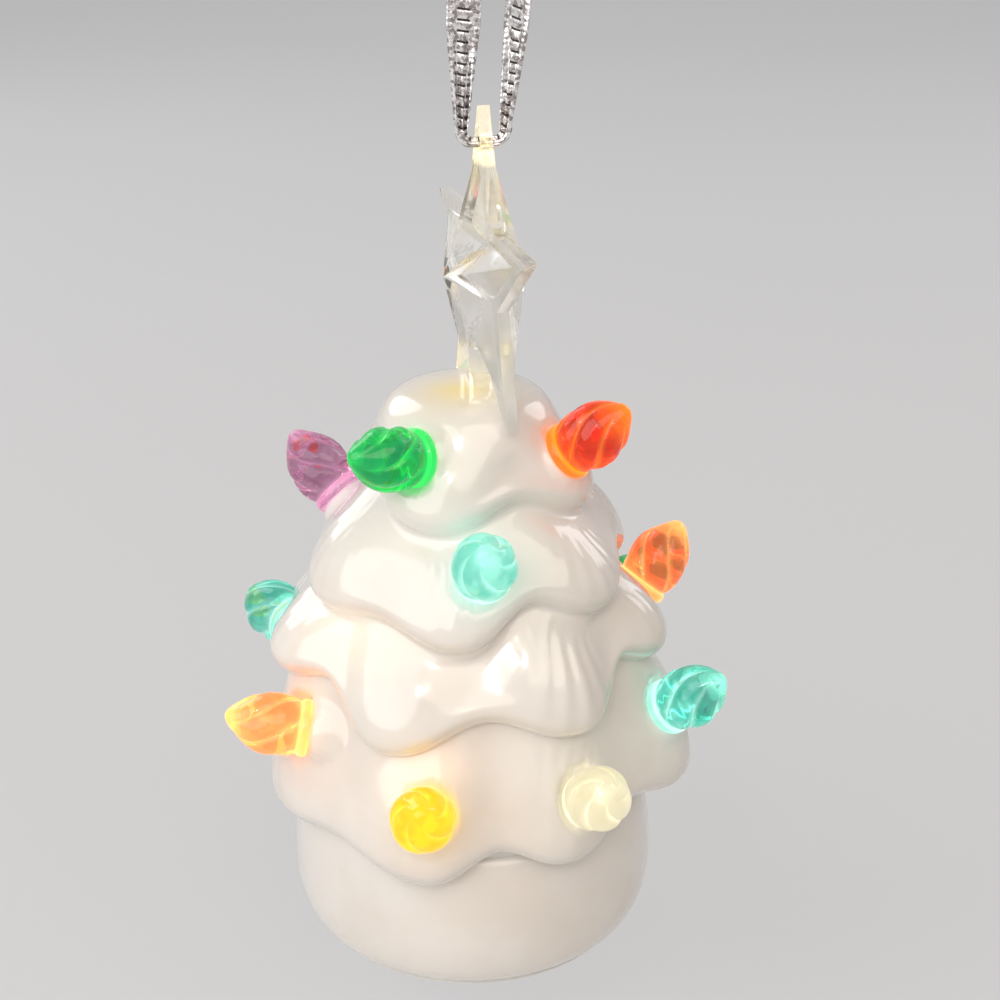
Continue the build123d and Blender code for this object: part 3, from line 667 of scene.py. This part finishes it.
# %% Bulb surface
bulb_length = 8.7
bulb_radius = 3.25
lobes = 5
bulb_twist = np.radians(120)
flame_foot = 1.15
tip_lean = 0.35
groove_depth, groove_light = 0.20, 0.40
start_turn = 0.9
plain_tip_light, tip_lights = 0.2, {"red": 0.55, "orange": 0.55, "purple": 0.4}
# Bulbs that catch more of the lamp than the others do, and how much of it their whole body shows
body_lights = {"bulb_13_orange": 0.26, "bulb_5_teal": 0.16}
# Height and radius of the plain part: peg and collar
stem_profile = np.array([
    (-5.2, 1.55), (-5.05, 1.7), (0.0, 1.7), (0.02, 2.6), (0.06, 2.85), (0.25, 2.95), (0.75, 2.95),
    (0.95, 2.88), (1.02, 2.72), (1.12, 2.66)])
flame_shares = np.array([0.12, 0.20, 0.32, 0.50, 0.60, 0.70, 0.80, 0.88, 0.95, 0.985, 1.0])
flame_radii = np.array([0.82, 0.92, 1.0, 1.0, 0.94, 0.82, 0.64, 0.46, 0.29, 0.16, 0.03]) * bulb_radius


def bulb_grid(foot, direction, start, tip_light, body_light, sides=96, rows=84):
    """Radius = profile(z) x (1 - depth x groove), with a groove where cos(lobes/2 (angle - twist x rise))
    is 0. Its painted light is the sum of that at the collar, the tip, the body and the grooves."""
    share = 1 - (1 - np.linspace(0, 1, rows)) ** 1.25
    z_share = flame_shares[0] + (1 - flame_shares[0]) * share
    z = np.concatenate([stem_profile[:, 0], z_share * bulb_length])[:, None]
    profile = np.concatenate([stem_profile[:, 1], np.interp(z_share, flame_shares, flame_radii)])
    kernel = np.array([1, 4, 6, 4, 1]) / 16
    smooth = np.convolve(np.pad(profile, 2, mode="edge"), kernel, "valid")
    profile = np.where(z[:, 0] > 1.6, smooth, profile)[:, None]
    rise = np.clip((z - flame_foot) / (bulb_length - flame_foot), 0, 1)
    angle = np.linspace(0, 2 * np.pi, sides, endpoint=False)
    wave = np.abs(np.cos(0.5 * lobes * (angle + start - bulb_twist * rise)))
    groove = (1 - wave ** 0.4) ** 1.2 * np.clip(rise / 0.10, 0, 1) * np.clip((0.96 - rise) / 0.25, 0, 1)
    radius = profile * (1 - groove_depth * groove)
    bulb_side = unit(np.cross(direction, upward))
    bulb_up = np.cross(bulb_side, direction)
    lean = tip_lean * rise ** 3
    ring = bulb_side * np.cos(angle)[:, None] + bulb_up * np.sin(angle)[:, None]
    grid = foot + direction * z[..., None] + bulb_up * lean[..., None] + ring * radius[..., None]
    # Painted light: a glow at the collar, a painted highlight at the tip, a wash on the body, bright lines in
    # the grooves
    collar = 0.45 * np.exp(-np.clip(z - 0.9, 0, None) / 0.6) + 0.5 * np.exp(-((z - 1.05) / 0.2) ** 2)
    glint = np.where(z < 0.05, 1.0, collar) + tip_light * np.clip((rise - 0.60) / 0.40, 0, 1) ** 1.5
    light = glint + body_light + groove_light * np.clip((groove - 0.15) / 0.6, 0, 1)
    light = np.clip(light, 0, 1).ravel()
    ends = to_frame([
        foot + direction * stem_profile[0, 0], foot + direction * bulb_length + bulb_up * tip_lean])
    depth = np.broadcast_to(groove, radius.shape).ravel()
    tags = {"light": np.append(light, light[[0, -1]]), "groove": np.append(depth, [0, 0])}
    return (to_frame(grid), *ends), tags


bulb_pieces = {}
for number, (name, (foot, direction)) in enumerate(seats.items()):
    tip_light = tip_lights.get(bulb_colours[name], plain_tip_light)
    shape, tags = bulb_grid(foot, direction, start_turn * number, tip_light, body_lights.get(name, 0))
    bulb_pieces[name] = add_piece("twist_" + name, [shape], tags)
    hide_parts(name)
    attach(bulb_pieces[name], "ornament")
    "bulb_" + name.split("_")[-1]
print("bulbs:", len(bulb_pieces), "of", len(bulb_pieces["bulb_1_green"].data.polygons), "faces")

# %% [markdown]
# ## Shader maths
# Chains of Math nodes are hard to read, so a small class wraps a socket and lets Python's own
# operators add them. Every other node comes from its one method: type, settings, then sockets.

# %% Wires
class Wire:
    """A shader socket on which Python arithmetic adds Math nodes."""

    def __init__(self, tree, socket=None):
        self.tree = tree
        self.socket = socket

    def node(self, kind, settings=None, sockets=None, output=0):
        """Adds a node: its settings, then the values or links of its sockets; returns one output."""
        made = self.tree.nodes.new(kind)
        for key, value in (settings or {}).items():
            setattr(made, key, value)
        for key, value in (sockets or {}).items():
            if isinstance(value, Wire):
                self.tree.links.new(value.socket, made.inputs[key])
            else:
                made.inputs[key].default_value = value
        return Wire(self.tree, made.outputs[output])

    def sum_of(self, operation, first, second):
        return self.node("ShaderNodeMath", {"operation": operation}, {0: first, 1: second})

    def __add__(self, other):
        return self.sum_of("ADD", self, other)

    def __sub__(self, other):
        return self.sum_of("SUBTRACT", self, other)

    def __rsub__(self, other):
        return self.sum_of("SUBTRACT", other, self)

    def __mul__(self, other):
        return self.sum_of("MULTIPLY", self, other)

    def band(self, low, high):
        """0 below low, 1 above high, and a smooth step between."""
        return self.node(
            "ShaderNodeMapRange", {"interpolation_type": "SMOOTHSTEP"},
            {"Value": self, "From Min": low, "From Max": high})

    def tint(self, low, high):
        """A colour between two, by this value. Each is a wire, or red, green and blue."""
        low, high = ((*end, 1) if isinstance(end, tuple) else end for end in (low, high))
        return self.node("ShaderNodeMix", {"data_type": "RGBA"}, {0: self, 6: low, 7: high}, 2)


def new_finish(name, constants):
    """A material, its Principled shader with constants set on its own sockets, and a wire to start from."""
    material = bpy.data.materials.new(name)
    material.use_nodes = True
    shader = material.node_tree.nodes["Principled BSDF"]
    for key, value in constants.items():
        shader.inputs[key].default_value = value
    return material, shader, Wire(material.node_tree)


def feed(shader, **wires):
    """Links wires to the shader's sockets, named with underscores for spaces."""
    for key, wire in wires.items():
        wire.tree.links.new(wire.socket, shader.inputs[key.replace("_", " ")])


def noise(place, scale, detail=2):
    """Cloudy noise of the object's own coordinates, scale in cells per metre."""
    return place.node("ShaderNodeTexNoise", {}, {"Vector": place, "Scale": scale, "Detail": detail})


def object_place(start):
    """Object coordinates, in metres in the frame."""
    return start.node("ShaderNodeTexCoord", output="Object")


def kept(start, name, output="Fac"):
    """An attribute that was kept with the surface."""
    return start.node("ShaderNodeAttribute", {"attribute_name": name}, output=output)


def relief(height, distance, strength):
    """A bump from a height."""
    return height.node("ShaderNodeBump", {}, {"Height": height, "Distance": distance, "Strength": strength})


def dress(thing, material):
    """Gives every slot of an object one material."""
    if not thing.material_slots:
        thing.data.materials.append(material)
    for place in thing.material_slots:
        place.material = material


print("shader helpers ready")

# %% [markdown]
# ## White glaze
# The glaze is a glassy coat over a pale clay body: a little warmer where it pools, with a fine
# orange-peel and a few pinhole specks. A plain white would look like plastic: the coat's own
# reflection over a slightly rougher body gives the depth.

# %% Glaze finish
def glaze_finish(name, lit):
    """White glaze: pooled tint, specks, uneven polish, orange-peel relief, and when lit the painted glow
    and a colour warmed by the painted light pool at the star's foot.
    """
    material, shader, start = new_finish(name, {
        "IOR": 1.52, "Coat Weight": 0.7, "Coat Roughness": 0.05, "Coat IOR": 1.5,
        "Subsurface Weight": 0.12, "Subsurface Radius": (0.0016, 0.0012, 0.0009), "Subsurface Scale": 1.0,
        "Emission Strength": float(lit)})
    place = object_place(start)
    pooled = noise(place, 110, 3).band(0.42, 0.68)
    colour = pooled.tint((0.85, 0.815, 0.775), (0.81, 0.765, 0.715))
    cells = start.node("ShaderNodeTexVoronoi", {}, {"Vector": place, "Scale": 130})
    speck = (1 - cells.band(0.030, 0.055)) * noise(place, 260, 0).band(0.62, 0.70)
    # Painted glow as emission: bulb colours, warm glows under two lips and at the star's foot
    if lit:
        feed(shader, Emission_Color=kept(start, "glow", "Color"))
        # Painted light: the glaze's colour is warmed where the lamp's light pools at the star's foot
        colour = (kept(start, "foot_pool_lit_share") * 0.9).tint(colour, (0.80, 0.64, 0.26))
    feed(
        shader, Base_Color=(speck * 0.55).tint(colour, (0.20, 0.16, 0.13)),
        Roughness=noise(place, 420) * 0.14 + 0.10,
        Normal=relief(noise(place, 900) * 0.4 + noise(place, 190, 1), 0.00006, 0.5))
    return material


dress(tree, glaze_finish("white_glaze_lit", True))
dress(base, glaze_finish("white_glaze", False))
print("glaze on the tree and the base")

# %% [markdown]
# ## Bulb plastic
# Clear coloured plastic carries light to its edges. Pure glass would show only what lies behind, so
# the plastic is tinted through, and light from inside comes in at the collar.

# %% Bulb finishes
# Plastic where it is deep and where it is lit, the light at the collar, and how much the body is lit
bulb_body = {
    "green": ((0.0, 0.26, 0.09), (0.0, 0.55, 0.18), (0.06, 0.90, 0.08), 0.10),
    "red": ((0.62, 0.01, 0.0), (0.96, 0.09, 0.005), (1.0, 0.46, 0.02), 0.20),
    "teal": ((0.01, 0.36, 0.26), (0.22, 0.82, 0.66), (0.80, 1.0, 0.93), 0.14),
    "purple": ((0.40, 0.16, 0.29), (0.66, 0.36, 0.50), (0.50, 0.24, 0.36), 0.03),
    "amber": ((1.0, 0.38, 0.02), (1.0, 0.56, 0.06), (1.0, 0.76, 0.22), 0.25),
    "clear": ((0.86, 0.83, 0.60), (1.0, 0.98, 0.80), (0.80, 0.74, 0.50), 0.10),
    "orange": ((0.90, 0.09, 0.02), (1.0, 0.34, 0.10), (1.0, 0.74, 0.24), 0.24),
    "yellow": ((1.0, 0.36, 0.0), (1.0, 0.76, 0.0), (1.0, 0.90, 0.08), 0.34),
}


def bulb_finish(colour):
    """Clear coloured plastic: light comes in at the collar, and the body shows it by refraction and by
    painted light: colour lighter where lit and darker in the grooves, and emission.
    """
    deep, lit, collar, inner = bulb_body[colour]
    material, shader, start = new_finish("bulb_plastic_" + colour, {
        "IOR": 1.49, "Transmission Weight": 0.9, "Emission Strength": 0.8})
    light, groove = kept(start, "light"), kept(start, "groove")
    place = object_place(start)
    streak = noise(place, 420)
    # Painted light and shade in the colour: lighter where the light attribute is high, darker in the grooves,
    # with random streaks
    painted_lit_groove_shade = (light * 0.5 + streak.band(0.38, 0.62) * 0.4 - groove * 0.2).band(0.0, 0.8)
    faint = tuple(inner * part for part in lit)
    feed(
        shader, Base_Color=painted_lit_groove_shade.tint(deep, lit), Emission_Color=light.tint(faint, collar),
        Roughness=noise(place, 700, 1) * 0.06 + 0.02,
        Normal=relief(noise(place, 1100, 1), 0.00003, 0.3))
    return material


bulb_materials = {colour: bulb_finish(colour) for colour in bulb_body}
for name, bulb in bulb_pieces.items():
    dress(bulb, bulb_materials[bulb_colours[name]])
print("bulb finishes:", sorted(bulb_materials))

# %% [markdown]
# ## Clear star
# The star's flat facets are right in its CAD solid, so it needs only a finish: water-clear plastic
# with faint swirls, frosted on its front arms, and a painted warm glow where the lamp's light comes
# out at its foot and gathers at its top, its eye and its upper front facets.

# %% Star finish
star_middle = through * star_shift + upward * star_height
star_finish, star_shader, start = new_finish("star_clear_plastic", {
    "IOR": 1.49, "Transmission Weight": 0.93, "Emission Strength": 0.7})
place = object_place(start)
height = start.node("ShaderNodeSeparateXYZ", {}, {"Vector": place}, "Z")
star_place = start.node(
    "ShaderNodeVectorMath", {"operation": "SUBTRACT"}, {0: place, 1: tuple(to_frame(star_middle))})
aside, forth = (
    start.node("ShaderNodeVectorMath", {"operation": "DOT_PRODUCT"}, {0: star_place, 1: tuple(axis)}, "Value")
    for axis in (across, through))
# Heights are in metres from the hanging point, aside and forth from the star's middle
# Painted glow, as emission: at the tip, in a band at the eye, on the upper front facets and at the foot
tip_glow = height.band(-0.0306, -0.0298) * 0.22
eye_glow_band = height.band(-0.0322, -0.0316) * (1 - height.band(-0.0309, -0.0303)) * 0.75
upper_part = height.band(-0.0440, -0.0330) * (1 - height.band(-0.0318, -0.0312))
upper_facet_glow = upper_part * forth.band(0.0002, 0.0010) * 0.22
foot_glow = (1 - height.band(-0.0545, -0.0500)) * (1 - aside.band(0.002, 0.004)) * 0.22
frosted = aside.band(0.0025, 0.0050) * (1 - height.band(-0.0400, -0.0370))
swirl = noise(place, 240, 3)
feed(
    star_shader, Base_Color=swirl.band(0.35, 0.75).tint((0.95, 0.935, 0.90), (0.86, 0.83, 0.76)),
    Roughness=swirl.band(0.40, 0.75) * 0.10 + 0.02 + frosted * 0.34,
    Emission_Color=(tip_glow + eye_glow_band + upper_facet_glow + foot_glow).tint((0, 0, 0), (1.0, 0.80, 0.30)),
    Normal=relief(noise(place, 700, 3), 0.00005, 0.35))
dress(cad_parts["star"], star_finish)
print("star finished")

# %% [markdown]
# ## Silver ribbon
# The ribbon is woven from metal-coated strips. Its beads catch the light one by one, so each gets its
# own polish from a cell pattern along the ribbon; the open slots between its rungs are painted dark shade.

# %% Ribbon finish
ribbon_finish, ribbon_shader, start = new_finish("silver_ribbon", {"IOR": 1.5})
weave = kept(start, "weave", "Vector")
over, on = (start.node("ShaderNodeSeparateXYZ", {}, {"Vector": weave}, axis) for axis in "XY")
from_middle = start.node("ShaderNodeMath", {"operation": "ABSOLUTE"}, {0: over})
phase = (on + over * slot_skew) * (2 * np.pi / slot_pitch)
wave = start.node("ShaderNodeMath", {"operation": "COSINE"}, {0: phase})
# Painted shade: the open slots between the rungs are coloured near black, rough and not metal
slot = (1 - wave.band(-0.90, -0.62)) * (1 - from_middle.band(0.34, 0.42))
narrowed = start.node("ShaderNodeVectorMath", {"operation": "MULTIPLY"}, {0: weave, 1: (1.7, 1.0, 1.0)})
cells = start.node("ShaderNodeTexVoronoi", {}, {"Vector": narrowed, "Scale": 3.2}, "Color")
sparkle = start.node("ShaderNodeSeparateColor", {}, {"Color": cells}, "Red")
silver = sparkle.band(0.15, 0.75).tint((0.36, 0.33, 0.33), (1.0, 0.97, 0.96))
feed(
    ribbon_shader, Base_Color=slot.tint(silver, (0.015, 0.014, 0.014)),
    Roughness=sparkle * -0.26 + 0.40 + slot * 0.3, Metallic=1 - slot)
for ribbon_piece in ribbon_pieces:
    dress(ribbon_piece, ribbon_finish)
print("ribbon finished")

# %% [markdown]
# ## Small parts
# The plate, the door, the switch, the cells and the wiring keep their CAD shapes. Moulded plastic has
# a fine spark texture, metal has brushed streaks, the board its woven glass: one recipe with a few
# numbers serves them all.

# %% Small part finishes
def small_finish(name, colour, shade, metallic, polish, grain, stretch, depth):
    """Two shades of one colour by noise, uneven polish, and a fine relief; stretch pulls the grain."""
    material, shader, start = new_finish(name, {"Metallic": metallic})
    place = object_place(start)
    pulled = start.node("ShaderNodeMapping", {}, {"Vector": place, "Scale": stretch})
    streak = noise(pulled, grain, 3)
    cloud = noise(place, 160)
    feed(
        shader, Base_Color=(cloud * 0.6 + streak * 0.4).band(0.3, 0.7).tint(colour, shade),
        Roughness=streak * 0.22 + polish, Normal=relief(streak, depth, 0.5))
    return material


even, brushed = (1, 1, 1), (1, 12, 12)
# Name, two shades, metallic, polish, grain in cells per metre, its stretch, relief in metres, and nodes
small_parts = [
    ("base_plastic", (0.80, 0.78, 0.75), (0.74, 0.72, 0.69), 0.0, 0.32, 1500, even, 0.00004,
     ["base_plate", "battery_door"]),
    ("zinc_steel", (0.62, 0.62, 0.61), (0.50, 0.50, 0.50), 1.0, 0.20, 500, brushed, 0.00002,
     ["door_screw", "contact_plate", "contact_spring"]),
    ("cell_steel", (0.74, 0.74, 0.73), (0.62, 0.62, 0.62), 1.0, 0.14, 400, brushed, 0.00001,
     ["button_cell_1", "button_cell_2", "button_cell_3"]),
    ("board_green", (0.02, 0.16, 0.06), (0.03, 0.22, 0.09), 0.0, 0.30, 1800, even, 0.00003,
     ["led_board"]),
    ("resistor_tan", (0.62, 0.46, 0.28), (0.52, 0.37, 0.21), 0.0, 0.35, 900, even, 0.00003,
     ["resistor"]),
    ("knob_black", (0.035, 0.035, 0.037), (0.06, 0.06, 0.062), 0.0, 0.40, 1700, even, 0.00005,
     ["switch_knob", "switch_body"]),
    ("lead_red", (0.55, 0.03, 0.02), (0.42, 0.02, 0.02), 0.0, 0.30, 800, even, 0.00002,
     ["lead_positive", "lead_switch"]),
    ("lead_black", (0.02, 0.02, 0.02), (0.05, 0.05, 0.05), 0.0, 0.30, 800, even, 0.00002,
     ["lead_negative"]),
    ("lamp_lens", (0.92, 0.86, 0.66), (0.98, 0.94, 0.80), 0.0, 0.08, 600, even, 0.00002, ["led"]),
]
for *recipe, nodes in small_parts:
    finish = small_finish(*recipe)
    for node in nodes:
        dress(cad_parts[node], finish)
print("small finishes:", len(small_parts))

# %% [markdown]
# ## Floor and light
# A pale floor lies far enough down for the battery door to come out. A broad soft lamp from the left
# and a weaker, warmer one from the front model the white form, two from behind draw its edges, and a
# small one gives the glaze its sparks. To the camera the world is a plain pale grey.

# %% Stage
floor_height, floor_half = -0.140, 4


def seen_share(start):
    """1 for rays to the camera, straight, mirrored or through clear plastic, and 0 for light on its way."""
    kinds = ("Is Camera Ray", "Is Glossy Ray", "Is Transmission Ray")
    straight, mirrored, clear = (start.node("ShaderNodeLightPath", output=kind) for kind in kinds)
    return (straight + mirrored + clear).band(0, 1)


floor_corners = [
    (x * floor_half, y * floor_half, floor_height) for x, y in ((-1, -1), (1, -1), (1, 1), (-1, 1))]
floor_mesh = bpy.data.meshes.new("floor")
floor_mesh.from_pydata(floor_corners, [], [(0, 1, 2, 3)])
floor = add_object("floor", floor_mesh)
floor_finish, floor_shader, start = new_finish("pale_floor", {"Roughness": 0.85})
pale = noise(object_place(start), 6).tint((0.68, 0.68, 0.68), (0.72, 0.72, 0.72))
feed(floor_shader, Base_Color=pale)
plain = start.node("ShaderNodeEmission", {}, {"Color": (0.68, 0.68, 0.69, 1)})
shown = start.node("ShaderNodeMixShader", {}, {
    0: seen_share(start) * 0.6, 1: Wire(start.tree, floor_shader.outputs[0]), 2: plain})
start.tree.links.new(shown.socket, start.tree.nodes["Material Output"].inputs["Surface"])
dress(floor, floor_finish)

world = bpy.data.worlds.new("studio")
scene.world = world
world.use_nodes = True
sky = seen_share(Wire(world.node_tree)).tint((0.15, 0.135, 0.12), (0.64, 0.64, 0.65))
feed(world.node_tree.nodes["Background"], Color=sky)


def soft_lamp(name, place, aim, size, power, colour):
    """A round soft lamp that looks at a point."""
    data = bpy.data.lights.new(name, "AREA")
    data.shape = "DISK"
    data.size, data.energy, data.color = size, power, colour
    back = unit(np.array(place) - np.array(aim))
    side = unit(np.cross(upward, back))
    add_object(name, data).matrix_world = placed([side, np.cross(back, side), back], place)


middle = (0, 0, -0.075)
soft_lamp("key", (-0.46, -0.42, 0.30), middle, 0.90, 3.9, (1.0, 0.98, 0.95))
soft_lamp("fill", (0.20, -0.46, 0.42), middle, 0.60, 1.75, (1.0, 0.87, 0.75))
soft_lamp("sparkle", (-0.06, -0.34, 0.20), middle, 0.05, 0.13, (1.0, 0.97, 0.92))
soft_lamp("edge_left", (-0.42, 0.45, 0.30), middle, 0.50, 1.3, (0.98, 0.98, 1.0))
soft_lamp("edge_right", (0.50, 0.38, 0.25), middle, 0.40, 0.8, (0.98, 0.98, 1.0))
print("stage ready, floor at", floor_height, "m")
